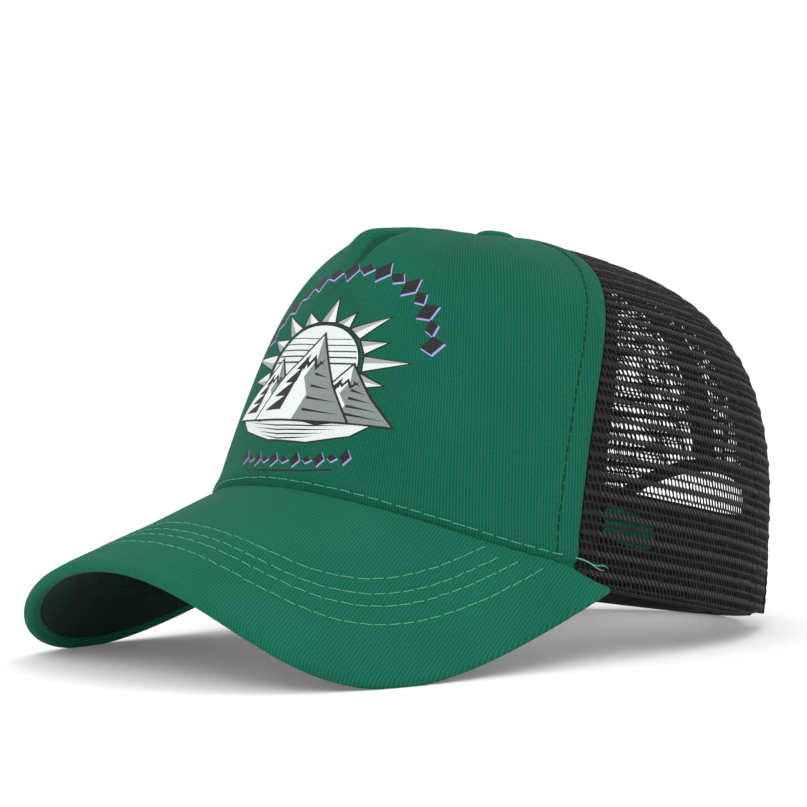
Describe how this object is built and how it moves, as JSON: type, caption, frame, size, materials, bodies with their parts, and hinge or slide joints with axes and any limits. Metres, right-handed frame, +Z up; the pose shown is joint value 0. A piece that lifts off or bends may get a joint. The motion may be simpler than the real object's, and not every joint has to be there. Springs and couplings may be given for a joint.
{
  "type": "trucker cap",
  "caption": "Trucker cap with a tall cloth front panel, open net sides and rear, a curved cloth-covered brim, a covered top button and a plastic snap strap across the rear arch.",
  "frame": {"origin": "centre of the bounding box's bottom face: the floor under the standing cap", "axes": "-Y is the front (brim), +Y the rear (strap), +X the wearer's left, +Z up"},
  "size_m": [0.1578, 0.2561, 0.131],
  "materials": {
    "green_twill": "matt cotton twill",
    "white_buckram": "matt stiffened lining",
    "brim_board": "plain plastic sheet",
    "brim_lining": "matt cotton twill",
    "sweatband_cloth": "matt cotton",
    "black_tape": "matt woven tape",
    "black_net": "matt knitted polyester net",
    "button_metal": "dull pressed metal",
    "strap_plastic": "smooth, slightly shiny"
  },
  "bodies": {
    "cap": {"front_panel": "green_twill", "front_lining": "white_buckram", "brim_top_cover": "green_twill", "brim_board": "brim_board", "brim_under_cover": "brim_lining", "sweatband": "sweatband_cloth", "arch_binding": "black_tape", "button_cap": "green_twill", "button_back": "button_metal", "tape_rear": "black_tape", "net_side_left": "black_net", "net_side_right": "black_net", "net_rear_left": "black_net", "net_rear_right": "black_net", "tape_front_left": "black_tape", "tape_front_right": "black_tape", "tape_side_left": "black_tape", "tape_side_right": "black_tape", "strap_tab_left": "strap_plastic", "strap_tab_right": "strap_plastic"},
    "strap_left_half": {"strap_left": "strap_plastic"},
    "strap_right_half": {"strap_right": "strap_plastic"}
  },
  "joints": [
    {"name": "strap_left_hinge", "type": "hinge", "parent": "cap", "child": "strap_left_half", "pos_m": [0.04029, 0.104, 0.0113], "axis": [0, 0, -1], "range_deg": [0, 35], "stiffness_Nm_per_rad": 0.02},
    {"name": "strap_right_hinge", "type": "hinge", "parent": "cap", "child": "strap_right_half", "pos_m": [-0.04029, 0.104, 0.0113], "axis": [0, 0, -1], "range_deg": [0, 40], "stiffness_Nm_per_rad": 0.02}
  ]
}
